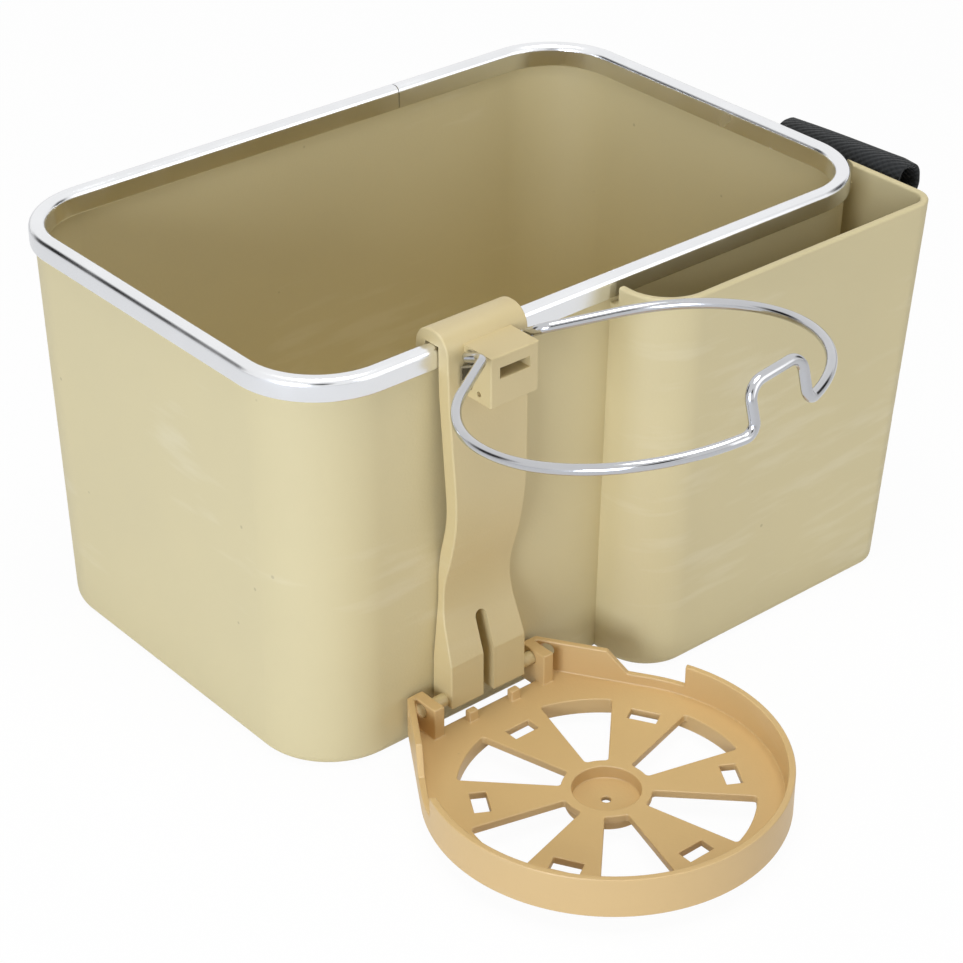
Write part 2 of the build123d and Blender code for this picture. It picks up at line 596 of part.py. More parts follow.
os.makedirs("parts", exist_ok=True)
for name, shape in (
    ("bin", bin_body),
    ("rim_trim", rim_trim),
    ("strap", strap),
    ("holder_arm", holder_arm),
    ("detent_spring", detent_spring),
    ("cup_ring", cup_ring),
    ("cup_tray", cup_tray),
):
    export_step(shape, f"parts/{name}.step")
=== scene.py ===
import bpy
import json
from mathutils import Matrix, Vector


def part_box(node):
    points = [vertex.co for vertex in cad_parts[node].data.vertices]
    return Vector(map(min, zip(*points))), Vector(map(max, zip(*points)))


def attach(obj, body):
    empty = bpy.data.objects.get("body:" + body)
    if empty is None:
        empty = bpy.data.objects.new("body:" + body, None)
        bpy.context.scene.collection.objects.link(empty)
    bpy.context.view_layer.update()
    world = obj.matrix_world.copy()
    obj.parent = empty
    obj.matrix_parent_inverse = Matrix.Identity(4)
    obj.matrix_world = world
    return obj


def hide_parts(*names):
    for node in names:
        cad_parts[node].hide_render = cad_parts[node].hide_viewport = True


bl_info = {
    "name": "Car Organizer",
    "version": (1, 0, 0),
    "blender": (4, 5, 0),
    "location": "3D View > Sidebar > Organizer",
    "description": "Dresses the packed organizer: bin, bright trim, wire ring, spoked tray and webbing",
    "category": "Object",
}

import json
import math

import bmesh
import bpy
import numpy as np
from bpy.props import FloatProperty, FloatVectorProperty, PointerProperty, StringProperty
from mathutils import Vector

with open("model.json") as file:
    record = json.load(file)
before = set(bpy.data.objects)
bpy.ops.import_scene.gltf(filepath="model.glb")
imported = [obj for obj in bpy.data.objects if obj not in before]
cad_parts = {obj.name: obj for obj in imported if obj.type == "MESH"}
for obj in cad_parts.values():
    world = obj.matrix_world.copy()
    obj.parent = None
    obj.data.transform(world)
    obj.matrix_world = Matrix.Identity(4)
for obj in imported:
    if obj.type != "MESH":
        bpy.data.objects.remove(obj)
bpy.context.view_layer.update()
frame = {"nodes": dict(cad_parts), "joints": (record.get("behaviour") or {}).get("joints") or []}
MM = 0.001
TRIM_LOW, TRIM_HIGH = (np.asarray(corner, float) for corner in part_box("rim_trim"))
HINGES = {joint["name"]: np.asarray(joint["pos_m"], float) for joint in frame["joints"]}

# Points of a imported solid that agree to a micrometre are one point
JOIN_GRID = 1e6
# Neighbouring faces within this angle count as level, and built surfaces stay smooth below the next
LEVEL_ANGLE = math.radians(0.2)
SMOOTH_ANGLE = math.radians(50)

# Rounding of the trim's sheet edges and inner corners, as shares of the sheet's thickness
TRIM_LIP = 0.42
TRIM_INSIDE = 0.5

# Bends of the wire where the pivot end meets the leg and where the leg meets the ring
KNEE_BEND = 1.4 * MM
ANKLE_BEND = 4.0 * MM
# Points of the wire's path closer than this are one, and the tube's seam faces these shares of out and up
SAME_POINT = 1e-6
SEAM_OUT, SEAM_UP = 0.5, 0.85

# Webbing, measured down from the ridge: its two ends, where the layers part, and where they leave the wall
STRAP_FOOT = 51.5 * MM
STRAP_TIP = 21.0 * MM
STRAP_TUCK = 30.5 * MM
# How far the webbing stands off at the tuck, and the radii of its slow bends, inner layer then outer
STRAP_LAP = 0.39 * MM
TUCK_BENDS = (60 * MM, 40 * MM)
LOOP_BENDS = (20 * MM, 14 * MM)
# Loop's corner radius as a share of its width, and the wave that the loop's outer face has
LOOP_FOLD = 0.42
LOOP_WAVE = 0.5 * MM
LOOP_WAVES = 1.3
LOOP_PHASE = 0.5
# Half the drawn thickness and the edge's rounding, as shares of one layer
STRAP_HALF = 0.47
STRAP_EDGE = 0.3
# Points of the section closer than this are one
STRAP_STEP = 0.02 * MM

# Soft lights: name, place, size, power setting and tint
WHITE = (1.0, 1.0, 1.0)
COOL = (0.9, 0.98, 1.14)
LAMPS = (
    ("key_light", (-1.15, -0.5, 0.28), 0.55, "key", COOL),
    ("fill_light", (0.45, -1.15, 0.45), 0.9, "fill", WHITE),
    ("top_light", (-0.05, -0.12, 1.25), 0.7, "top", WHITE),
)
LAMP_AIM = (0, -0.03, 0.05)
# Dark cards for the bright metal: name, place and width
CARDS = (
    ("dark_card_back", (-0.55, 0.75, 0.3), 0.8),
    ("dark_card_right", (0.75, -0.25, 0.35), 0.6),
    ("dark_card_front", (-0.55, -0.7, 0.5), 0.5),
)
CARD_AIM = (0, -0.03, 0.09)
# Corners of a square, and the floor's half width and depth below the part
SQUARE = ((-1, -1), (1, -1), (1, 1), (-1, 1))
FLOOR_HALF = 4.0
FLOOR_DROP = 0.2 * MM


# Sizes and colours that a user would change

def length(label, description, default):
    """A length in metres, shown in the scene's unit."""
    return FloatProperty(name=label, description=description, default=default, unit="LENGTH", precision=5)


def angle(label, description, degrees):
    """An angle, shown in degrees."""
    default = math.radians(degrees)
    return FloatProperty(name=label, description=description, default=default, subtype="ANGLE")


def colour(label, description, default):
    """An sRGB colour as six hex digits."""
    return StringProperty(name=label, description=description, default=default, maxlen=7)


class TrimSizes(bpy.types.PropertyGroup):
    corner: length("Corner", "Outside corner radius of the trim in plan", 20.5 * MM)
    width: length("Width", "Outer face to inner face", 3.9 * MM)
    sheet: length("Sheet", "Thickness of the formed sheet", 0.85 * MM)
    outer_leg: length("Outer leg", "Height of the outer face", 5.0 * MM)
    inner_leg: length("Inner leg", "Height of the inner face", 5.7 * MM)
    crown: length("Crown", "Rounding of the two top edges", 1.6 * MM)
    seam: length("Seam", "Gap of the butt joint", 0.25 * MM)
    seam_x: length("Seam place", "Place of the butt joint along the back", 28.0 * MM)
    hue: colour("Plating", "Colour of the plated trim", "#EBECEE")


class RingSizes(bpy.types.PropertyGroup):
    wire: length("Wire", "Diameter of the wire", 2.2 * MM)
    radius: length("Radius", "Ring to the wire's middle", 35.75 * MM)
    reach: length("Reach", "Pivot to the ring's centre", 44.1 * MM)
    rise: length("Rise", "Ring plane above the pivot", 1.8 * MM)
    leg: length("Leg", "Leg to the middle of the box", 7.8 * MM)
    leg_reach: length("Leg reach", "Length of the straight legs", 6.2 * MM)
    inset: length("Inset", "Wire's end to the middle of the box", 2.0 * MM)
    upright: length("Upright", "Height of the raised bend", 9.6 * MM)
    bend: length("Bend", "Lower bends of the raised part", 2.6 * MM)
    top_bend: length("Top bend", "Upper bends of the raised part", 3.4 * MM)
    tilt: angle("Tilt", "Front up", 10.7)
    roll: angle("Roll", "Right side up", 4.7)
    left: angle("Left foot", "Raised bend's left foot from the front", 8.5)
    right: angle("Right foot", "Raised bend's right foot from the front", 14.5)
    hue: colour("Plating", "Colour of the plated wire", "#C2C3C6")


class StrapSizes(bpy.types.PropertyGroup):
    width: length("Width", "Width of the webbing", 39.4 * MM)
    thick: length("Thickness", "Thickness of one layer", 1.5 * MM)
    middle: length("Middle", "Middle of the webbing along the depth", -37.9 * MM)
    ridge: length("Ridge", "Height of the loop's top", 96.5 * MM)
    loop: length("Loop", "Width of the open loop", 8.8 * MM)
    loop_x: length("Loop place", "Inner face of the loop", 85.5 * MM)
    lean: angle("Lean", "Front end higher", 3.0)
    pitch: length("Rib pitch", "Distance between the woven ribs", 1.3 * MM)
    hue: colour("Yarn", "Colour of the yarn", "#1C1E1F")


class Finish(bpy.types.PropertyGroup):
    bin_hue: colour("Bin", "Colour of the bin", "#D2C497")
    arm_hue: colour("Arm", "Colour of the hook and arm", "#D0BD8C")
    tray_hue: colour("Tray", "Colour of the spoked tray", "#D3B27A")
    leaf_hue: colour("Leaf", "Colour of the steel leaf", "#B9BABC")
    grain: length("Grain", "Width of the moulding's fine grain", 0.7 * MM)
    crisp: angle("Crisp", "Edges sharper than this stay crisp", 32.0)
    tray_edge: length("Tray edge", "Rounding of the tray's edges", 0.3 * MM)


class StageSettings(bpy.types.PropertyGroup):
    key: FloatProperty(name="Key", description="Soft light from the left", default=8.8, unit="POWER")
    fill: FloatProperty(name="Fill", description="Soft light from front right", default=2.5, unit="POWER")
    top: FloatProperty(name="Top", description="Soft light from above", default=9.0, unit="POWER")
    ambient: FloatProperty(name="Ambient", description="Even light of the room", default=0.22, min=0.0)
    floor_white: FloatProperty(
        name="Floor white", description="Share of the floor that shows plain white", default=0.96,
        subtype="FACTOR",
    )
    floor_mirrored: FloatProperty(
        name="Floor mirrored", description="The same share where metal mirrors the floor", default=0.35,
        subtype="FACTOR",
    )
    lens: FloatProperty(name="Lens", description="Length on a 36 mm frame", default=98.36, unit="CAMERA")
    eye: FloatVectorProperty(
        name="Eye", description="Place of the camera", default=(-0.342415, -0.416594, 0.348152),
        subtype="TRANSLATION",
    )
    aim: FloatVectorProperty(
        name="Aim", description="Point that the camera looks at", default=(-0.076051, -0.101629, 0.0975),
        subtype="TRANSLATION",
    )


GROUPS = {
    "organizer_trim": TrimSizes,
    "organizer_ring": RingSizes,
    "organizer_strap": StrapSizes,
    "organizer_finish": Finish,
    "organizer_stage": StageSettings,
}


# Shapes

def unit(vectors):
    """Vectors divided by their lengths, along the last axis."""
    return vectors / np.linalg.norm(vectors, axis=-1, keepdims=True)


def rounded(corners, radii, steps, closed=True):
    """Flat outline with an arc at each corner.

    The arc starts radius * tan(turn / 2) before the corner, has its centre square to the run that
    comes in, and turns by the corner's own angle. An open line keeps its two end points.
    """
    p = np.asarray(corners, float)
    run_in = unit(p - np.roll(p, 1, 0))
    run_out = unit(np.roll(p, -1, 0) - p)
    turn = np.arctan2(
        run_in[:, 0] * run_out[:, 1] - run_in[:, 1] * run_out[:, 0], np.sum(run_in * run_out, axis=1)
    )
    radius = np.asarray(radii, float)[:, None]
    start = p - run_in * radius * np.tan(np.abs(turn) / 2)[:, None]
    square = np.stack((-run_in[:, 1], run_in[:, 0]), 1) * np.sign(turn)[:, None]
    centre = start + square * radius
    swing = turn[:, None] * np.linspace(0, 1, steps)
    arm = start - centre
    x = centre[:, :1] + arm[:, :1] * np.cos(swing) - arm[:, 1:] * np.sin(swing)
    y = centre[:, 1:] + arm[:, :1] * np.sin(swing) + arm[:, 1:] * np.cos(swing)
    arcs = np.stack((x, y), -1)
    if closed:
        return arcs.reshape(-1, 2)
    return np.concatenate((p[:1], arcs[1:-1].reshape(-1, 2), p[-1:]))


def bend(before, at, after, radius, steps):
    """Arc that rounds a corner in space: centre - n r cos(a) + d r sin(a), where d is the run that
    comes in and n is square to it in the corner's plane."""
    d1 = unit(at - before)
    d2 = unit(after - at)
    turn = math.acos(float(np.clip(d1 @ d2, -1, 1)))
    n = unit(d2 - d1 * (d1 @ d2))
    centre = at - d1 * radius * math.tan(turn / 2) + n * radius
    a = np.linspace(0, turn, steps)[:, None]
    return centre - n * radius * np.cos(a) + d1 * radius * np.sin(a)


def build(name, grid, uv=None):
    """Mesh of a grid of points: rows along a path, columns round a closed section, both ends capped."""
    rows, columns = grid.shape[:2]
    i, j = np.meshgrid(np.arange(rows - 1), np.arange(columns), indexing="ij")
    k = (j + 1) % columns
    quads = np.stack((i * columns + j, i * columns + k, (i + 1) * columns + k, (i + 1) * columns + j), -1)
    faces = quads.reshape(-1, 4).tolist()
    faces.append(np.arange(columns)[::-1].tolist())
    faces.append((np.arange(columns) + (rows - 1) * columns).tolist())
    points = grid.reshape(-1, 3)
    middle = grid.mean(axis=1)
    ahead = np.cross(grid[0, 1] - grid[0, 0], grid[1, 0] - grid[0, 0])
    if ahead @ (grid[0, 0] - middle[0]) < 0:
        faces = [face[::-1] for face in faces]
    mesh = bpy.data.meshes.new(name)
    mesh.from_pydata(points.tolist(), [], faces)
    mesh.polygons.foreach_set("use_smooth", np.ones(len(faces), bool))
    if uv is not None:
        corner = np.zeros(len(mesh.loops), np.int32)
        mesh.loops.foreach_get("vertex_index", corner)
        layer = mesh.uv_layers.new(name="weave")
        layer.data.foreach_set("uv", uv.reshape(-1, 2)[corner].astype(np.float32).ravel())
    mesh.set_sharp_from_angle(angle=SMOOTH_ANGLE)
    mesh.update()
    return place(name, mesh)


def place(name, mesh):
    """Object at the origin that holds a mesh."""
    piece = bpy.data.objects.new(name, mesh)
    bpy.context.scene.collection.objects.link(piece)
    return piece


def moulding(node, name, crisp):
    """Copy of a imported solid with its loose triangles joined, smooth except at crisp edges.

    Corners that agree on the join grid become one point, and triangles that lose a side are dropped.
    """
    source = frame["nodes"][node].data
    source.calc_loop_triangles()
    co = np.zeros(len(source.vertices) * 3)
    source.vertices.foreach_get("co", co)
    tri = np.zeros(len(source.loop_triangles) * 3, np.int32)
    source.loop_triangles.foreach_get("vertices", tri)
    grid = np.round(co.reshape(-1, 3) * JOIN_GRID)
    _, first, joined = np.unique(grid, axis=0, return_index=True, return_inverse=True)
    tri = joined.ravel()[tri].reshape(-1, 3)
    whole = (tri[:, 0] != tri[:, 1]) & (tri[:, 1] != tri[:, 2]) & (tri[:, 2] != tri[:, 0])
    tri = tri[whole]
    mesh = bpy.data.meshes.new(name)
    mesh.from_pydata(co.reshape(-1, 3)[first].tolist(), [], tri.tolist())
    mesh.polygons.foreach_set("use_smooth", np.ones(len(tri), bool))
    mesh.set_sharp_from_angle(angle=crisp)
    mesh.update()
    piece = place(name, mesh)
    shading = piece.modifiers.new("Even shading", "WEIGHTED_NORMAL")
    shading.keep_sharp = True
    return piece


def round_off(piece, crisp, edge):
    """Rounds a moulding's sharp edges.

    Level neighbours become one face, so that the bevel runs along whole edges, and it comes before
    the shading.
    """
    level = bmesh.new()
    level.from_mesh(piece.data)
    for seam in level.edges:
        seam.smooth = True
    bmesh.ops.dissolve_limit(level, angle_limit=LEVEL_ANGLE, verts=level.verts, edges=level.edges)
    level.to_mesh(piece.data)
    level.free()
    rounding = piece.modifiers.new("Moulded edges", "BEVEL")
    rounding.width = edge
    rounding.segments = 2
    rounding.limit_method = "ANGLE"
    rounding.angle_limit = crisp
    rounding.use_clamp_overlap = False
    rounding.loop_slide = False
    piece.modifiers.move(1, 0)


def trim_shape(sizes):
    """U-shaped channel carried once round the rim.

    A point of the section at inset d lies at skeleton + (corner - d) * outward, where the skeleton is
    the rectangle of the corner centres and outward turns with the outline, so every inset is parallel.
    """
    half = (TRIM_HIGH - TRIM_LOW)[:2] / 2
    middle = (TRIM_HIGH + TRIM_LOW)[:2] / 2
    top = TRIM_HIGH[2]
    w, s = sizes.width, sizes.sheet
    outer, inner = top - sizes.outer_leg, top - sizes.inner_leg
    lip, inside = TRIM_LIP * s, TRIM_INSIDE * s
    section = rounded(
        [(0, outer), (0, top), (w, top), (w, inner),
         (w - s, inner), (w - s, top - s), (s, top - s), (s, outer)],
        [lip, sizes.crown, sizes.crown, lip, lip, inside, inside, lip],
        steps=9,
    )
    kx, ky = half - sizes.corner
    turn = np.linspace(0, np.pi / 2, 33)
    heading = np.concatenate(
        ([np.pi / 2], np.pi / 2 + turn, np.pi + turn, 1.5 * np.pi + turn, 2 * np.pi + turn, [2.5 * np.pi])
    )
    stops = np.array([(-kx, ky), (-kx, -ky), (kx, -ky), (kx, ky)])
    seam = np.array([[sizes.seam_x - sizes.seam / 2, ky], [sizes.seam_x + sizes.seam / 2, ky]])
    skeleton = np.concatenate((seam[:1], np.repeat(stops, len(turn), axis=0), seam[1:])) + middle
    outward = np.stack((np.cos(heading), np.sin(heading)), 1)
    flat = skeleton[:, None] + outward[:, None] * (sizes.corner - section[:, 0])[None, :, None]
    height = np.broadcast_to(section[:, 1], flat.shape[:2])
    return np.concatenate((flat, height[..., None]), -1)


def ring_path(sizes):
    """Middle line of the bent wire, from one pivot end to the other.

    Straight legs run out of the box, flare in tangents to the circle
    origin + across r sin(a) + outward (reach + r cos(a)), and the front has a raised bend.
    """
    pivot = HINGES["ring_swing"]
    tilt, roll = sizes.tilt, sizes.roll
    outward = np.array([0, -math.cos(tilt), math.sin(tilt)])
    across = np.array([math.cos(roll), 0, math.sin(roll)])
    across = unit(across - outward * (across @ outward))
    upward = np.cross(outward, across)
    origin = pivot + np.array([0, math.sin(tilt), math.cos(tilt)]) * sizes.rise
    ahead = sizes.reach - sizes.leg_reach
    span = math.hypot(sizes.leg, ahead)
    flare = math.pi - math.atan2(sizes.leg, ahead) - math.acos(sizes.radius / span)

    def circle(a):
        a = a[:, None]
        forward = sizes.reach + sizes.radius * np.cos(a)
        return origin + across * sizes.radius * np.sin(a) + outward * forward

    def half(sign, foot):
        start = pivot + np.array([sign * sizes.inset, 0, 0])
        knee = pivot + np.array([sign * sizes.leg, 0, 0])
        ankle = origin + across * sign * sizes.leg + outward * sizes.leg_reach
        a = np.linspace(sign * flare, sign * (foot + sizes.bend / sizes.radius), 121)
        arc = circle(a)
        along = (across * math.cos(a[-1]) - outward * math.sin(a[-1])) * -sign
        low = arc[-1] + along * sizes.bend
        high = low + upward * sizes.upright
        runs = [
            start[None],
            bend(start, knee, ankle, KNEE_BEND, steps=12),
            bend(knee, ankle, arc[0], ANKLE_BEND, steps=16),
            arc,
            bend(arc[-1], low, high, sizes.bend, steps=14),
        ]
        return runs, low, high

    left, left_low, left_high = half(-1, sizes.left)
    right, right_low, right_high = half(1, sizes.right)
    top = [
        bend(left_low, left_high, right_high, sizes.top_bend, steps=16),
        bend(right_low, right_high, left_high, sizes.top_bend, steps=16)[::-1],
    ]
    path = np.concatenate(left + top + [run[::-1] for run in right[::-1]])
    step = np.linalg.norm(np.diff(path, axis=0), axis=1)
    path = path[np.concatenate(([True], step > SAME_POINT))]
    return path, unit(SEAM_OUT * outward + SEAM_UP * upward)


def tube(path, lean, radius, columns):
    """Round tube: path + radius (cos(a) n + sin(a) b), with n the part of one fixed direction that is
    square to the path, and b square to both."""
    ahead = unit(np.gradient(path, axis=0))
    n = unit(lean - ahead * (ahead @ lean)[:, None])
    b = np.cross(ahead, n)
    a = np.linspace(0, 2 * np.pi, columns, endpoint=False)[:, None]
    return path[:, None] + radius * (np.cos(a) * n[:, None] + np.sin(a) * b[:, None])


def strap_shape(sizes):
    """One length of webbing, up the end wall, round an open loop beside the rim and down on itself.

    The middle line is a flat outline with rounded folds. A point lies at middle + h * square, where h
    and the place across the width come from a thin rounded section. The strip leans about the ridge.
    """
    t = sizes.thick
    ridge = sizes.ridge
    foot_z, tip_z, tuck_z = ridge - STRAP_FOOT, ridge - STRAP_TIP, ridge - STRAP_TUCK
    loop_z = ridge - sizes.loop / 2
    foot_x = float(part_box("strap")[0][0])
    tuck_x = foot_x + STRAP_LAP
    tip_x = tuck_x + (sizes.loop_x - tuck_x) * (tip_z - tuck_z) / (loop_z - tuck_z)
    right = sizes.loop_x + sizes.loop
    fold = LOOP_FOLD * sizes.loop - t / 2
    line = rounded(
        [(foot_x + t / 2, foot_z), (tuck_x + t / 2, tuck_z), (sizes.loop_x + t / 2, loop_z),
         (sizes.loop_x + t, ridge - t / 2), (right - t / 2, ridge - t / 2), (right - t / 2, loop_z - t),
         (tip_x + 1.5 * t, tip_z), (tuck_x + 1.5 * t, tuck_z), (foot_x + 1.5 * t, foot_z)],
        [0, TUCK_BENDS[0], LOOP_BENDS[0], fold, fold, fold, LOOP_BENDS[1], TUCK_BENDS[1], 0],
        steps=14,
        closed=False,
    )
    along = np.concatenate(([0], np.cumsum(np.linalg.norm(np.diff(line, axis=0), axis=1))))
    even = np.linspace(0, along[-1], 260)
    line = np.stack((np.interp(even, along, line[:, 0]), np.interp(even, along, line[:, 1])), 1)
    ahead = unit(np.gradient(line, axis=0))
    square = np.stack((ahead[:, 1], -ahead[:, 0]), 1)
    w, h = sizes.width / 2, STRAP_HALF * t
    edge = rounded([(-w, -h), (w, -h), (w, h), (-w, h)], [STRAP_EDGE * t] * 4, steps=7)
    cross = np.concatenate([np.linspace(a, b, 13)[:-1] for a, b in zip(edge, np.roll(edge, -1, 0))])
    keep = np.concatenate(([True], np.linalg.norm(np.diff(cross, axis=0), axis=1) > STRAP_STEP))
    cross = cross[keep]
    x = line[:, :1] + square[:, :1] * cross[:, 1]
    z = line[:, 1:] + square[:, 1:] * cross[:, 1]
    y = np.broadcast_to(cross[:, 0], x.shape)
    open_loop = np.clip((line[:, 1:] - tip_z) / (ridge - tip_z), 0, 1)
    outer = np.clip((line[:, :1] - sizes.loop_x) / sizes.loop, 0, 1)
    x = x + LOOP_WAVE * open_loop * outer * np.sin(np.pi * y / sizes.width * LOOP_WAVES + LOOP_PHASE)
    c, s = math.cos(-sizes.lean), math.sin(-sizes.lean)
    lean_y = sizes.middle + y * c - (z - ridge) * s
    lean_z = ridge + y * s + (z - ridge) * c
    uv = np.stack((np.broadcast_to(cross[:, 0], x.shape), np.broadcast_to(even[:, None], x.shape)), -1)
    return np.stack((x, lean_y, lean_z), -1), uv, float(along[-1])


# Materials

def linear(hexed):
    """sRGB hex digits to a linear colour with full alpha."""
    value = np.array([int(hexed.lstrip("#")[k:k + 2], 16) for k in (0, 2, 4)]) / 255
    value = np.where(value <= 0.04045, value / 12.92, ((value + 0.055) / 1.055) ** 2.4)
    return (*value.tolist(), 1.0)


def shade(hexed, factor):
    """The same colour with its linear values times a factor."""
    r, g, b, a = linear(hexed)
    return (min(r * factor, 1), min(g * factor, 1), min(b * factor, 1), a)


def feed(tree, socket, value):
    """Links a socket to another node's output, or gives it a constant."""
    if isinstance(value, bpy.types.NodeSocket):
        tree.links.new(value, socket)
    else:
        socket.default_value = value


def add(tree, kind, inputs=None, **settings):
    """Adds a node with its settings, and gives each named input a value or a link."""
    node = tree.nodes.new(kind)
    for name, value in settings.items():
        setattr(node, name, value)
    for name, value in (inputs or {}).items():
        feed(tree, node.inputs[name], value)
    return node


def maths(tree, operation, *values):
    """Result of one step of arithmetic."""
    return add(tree, "ShaderNodeMath", dict(enumerate(values)), operation=operation).outputs[0]


def spread(tree, value, low, high, to_low=0.0, to_high=1.0):
    """A value carried from one range to another, and held at its ends."""
    inputs = {"Value": value, "From Min": low, "From Max": high, "To Min": to_low, "To Max": to_high}
    return add(tree, "ShaderNodeMapRange", inputs).outputs["Result"]


def noise(tree, where, size, detail):
    """Noise with features of about the given size in metres."""
    inputs = {"Vector": where, "Scale": 1 / size, "Detail": detail}
    return add(tree, "ShaderNodeTexNoise", inputs).outputs["Fac"]


def blend(tree, factor, a, b):
    """Mix of two colours."""
    inputs = {"Factor": factor, "A": a, "B": b}
    return add(tree, "ShaderNodeMix", inputs, data_type="RGBA").outputs["Result"]


def bumped(tree, height, strength, distance):
    """Normal of a surface with small heights, the distance in metres."""
    inputs = {"Height": height, "Strength": strength, "Distance": distance}
    return add(tree, "ShaderNodeBump", inputs).outputs[0]


def cleared(name):
    """New node material with nothing in it."""
    material = bpy.data.materials.new(name)
    material.use_nodes = True
    material.node_tree.nodes.clear()
    return material, material.node_tree


def blank(name):
    """New node material with a shader and an output."""
    material, tree = cleared(name)
    shader = add(tree, "ShaderNodeBsdfPrincipled")
    add(tree, "ShaderNodeOutputMaterial", {"Surface": shader.outputs[0]})
    return material, tree, shader


def plug(tree, shader, **inputs):
    """Links or values on a shader's inputs, underscores standing for spaces."""
    for name, value in inputs.items():
        feed(tree, shader.inputs[name.replace("_", " ")], value)


def moulded(name, hexed, grain, gloss, wear):
    """Injection-moulded polypropylene: matt skin, fine grain, clouding, rare dark specks, pale rubs."""
    material, tree, shader = blank(name)
    where = add(tree, "ShaderNodeTexCoord").outputs["Object"]
    # Clouding of the resin over about 45 mm
    cloud = noise(tree, where, 45 * MM, 3.0)
    tone = blend(tree, cloud, shade(hexed, 0.94), shade(hexed, 1.05))
    # Dark specks in the resin, one in some of the 9 mm cells
    cell = add(tree, "ShaderNodeTexVoronoi", {"Vector": where, "Scale": 1 / (9 * MM)})
    speck = spread(tree, cell.outputs["Distance"], 0.035, 0.055, 1.0, 0.0)
    some = add(tree, "ShaderNodeSeparateColor", {"Color": cell.outputs["Color"]})
    rare = maths(tree, "GREATER_THAN", some.outputs["Red"], 0.84)
    dark = maths(tree, "MULTIPLY", maths(tree, "MULTIPLY", speck, rare), 0.3)
    tone = blend(tree, dark, tone, linear("#6E5F3E"))
    # Pale rubs: streaks about 4 mm by 22 mm, in patches of about 60 mm
    drawn = add(
        tree, "ShaderNodeMapping", {"Vector": where, "Rotation": (0.35, 0.5, 0.2), "Scale": (1, 1, 6)}
    )
    streak = noise(tree, drawn.outputs[0], 22 * MM, 3.0)
    patch = noise(tree, where, 60 * MM, 1.0)
    rub = spread(tree, maths(tree, "MULTIPLY", streak, patch), 0.31, 0.42, 0.0, wear)
    tone = blend(tree, rub, tone, linear("#EFE8D2"))
    # Grain is drawn about twice as coarse as the real one, so that it shows
    pebble = noise(tree, where, grain, 1.0)
    plug(
        tree, shader, Base_Color=tone, Roughness=spread(tree, cloud, 0.3, 0.7, gloss - 0.04, gloss + 0.05),
        Normal=bumped(tree, pebble, 0.22, 0.12 * MM), IOR=1.49, Specular_IOR_Level=0.7,
    )
    return material


def plated(name, hexed, low, high, mark):
    """Bright metal over a formed part: mirror-like, with faint handling marks of the given size.

    Low and high are the roughness of the clean and the handled metal.
    """
    material, tree, shader = blank(name)
    where = add(tree, "ShaderNodeTexCoord").outputs["Object"]
    film = noise(tree, where, mark, 2.0)
    # Slow waves of the formed surface, about 20 mm long
    wave = noise(tree, where, 20 * MM, 1.0)
    plug(
        tree, shader, Base_Color=blend(tree, film, shade(hexed, 0.95), shade(hexed, 1.02)),
        Roughness=spread(tree, film, 0.35, 0.75, low, high), Normal=bumped(tree, wave, 0.12, 0.4 * MM),
        Metallic=1.0,
    )
    return material


def webbing(name, hexed, pitch):
    """Woven polyester webbing: crosswise ribs, yarns that pass over and under, dull with a slight sheen,
    with painted shade where the yarns dip and a painted highlight on the raised yarns.
    """
    material, tree, shader = blank(name)
    where = add(tree, "ShaderNodeUVMap", uv_map="weave").outputs[0]
    axes = add(tree, "ShaderNodeSeparateXYZ", {"Vector": where}).outputs
    # Warp yarns lie 1.6 times as far apart as the ribs
    warp = maths(tree, "SINE", maths(tree, "MULTIPLY", axes["X"], 2 * math.pi / (1.6 * pitch)))
    weft = maths(tree, "SINE", maths(tree, "MULTIPLY", axes["Y"], 2 * math.pi / pitch))
    raised = spread(tree, maths(tree, "MULTIPLY", warp, weft), -1.0, 1.0)
    # Fuzz of the fibres, about 0.4 mm
    fuzz = noise(tree, where, 0.4 * MM, 3.0)
    height = maths(tree, "MULTIPLY_ADD", fuzz, 0.35, raised)
    # Base colour from the weave's height: painted shade where the yarns dip, painted highlight on the raised
    # yarns
    plug(
        tree, shader, Base_Color=blend(tree, raised, shade(hexed, 0.55), shade(hexed, 1.35)),
        Normal=bumped(tree, height, 0.8, 0.35 * MM), Roughness=0.82, Sheen_Weight=0.15,
        Specular_IOR_Level=0.3,
    )
    return material


def dress(piece, material, body, slot, *nodes):
    """Gives a piece its material and its body, and hides the solids that it stands for; the slot argument is
    not used.
    """
    piece.data.materials.append(material)
    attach(piece, body)
    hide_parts(*nodes)


# Operators

class ORGANIZER_OT_bin(bpy.types.Operator):
    """Bin and pocket, one beige moulding"""

    bl_idname = "organizer.bin"
    bl_label = "Bin"

    def execute(self, context):
        finish = context.scene.organizer_finish
        skin = moulded("Matt polypropylene, beige", finish.bin_hue, finish.grain, gloss=0.52, wear=0.16)
        dress(moulding("bin", "bin_moulding", finish.crisp), skin, "organizer", "bin_plastic", "bin")
        return {"FINISHED"}


class ORGANIZER_OT_trim(bpy.types.Operator):
    """Bright U-shaped trim on the rim"""

    bl_idname = "organizer.trim"
    bl_label = "Rim trim"

    def execute(self, context):
        sizes = context.scene.organizer_trim
        piece = build("bright_trim", trim_shape(sizes))
        skin = plated("Plated trim", sizes.hue, low=0.16, high=0.28, mark=12 * MM)
        dress(piece, skin, "organizer", "bright_trim", "rim_trim")
        return {"FINISHED"}


class ORGANIZER_OT_strap(bpy.types.Operator):
    """Webbing folded into a loop"""

    bl_idname = "organizer.strap"
    bl_label = "Webbing"

    def execute(self, context):
        sizes = context.scene.organizer_strap
        grid, uv, total = strap_shape(sizes)
        piece = build("webbing_loop", grid, uv)
        skin = webbing("Woven polyester, black", sizes.hue, sizes.pitch)
        dress(piece, skin, "organizer", "webbing", "strap")
        return {"FINISHED"}


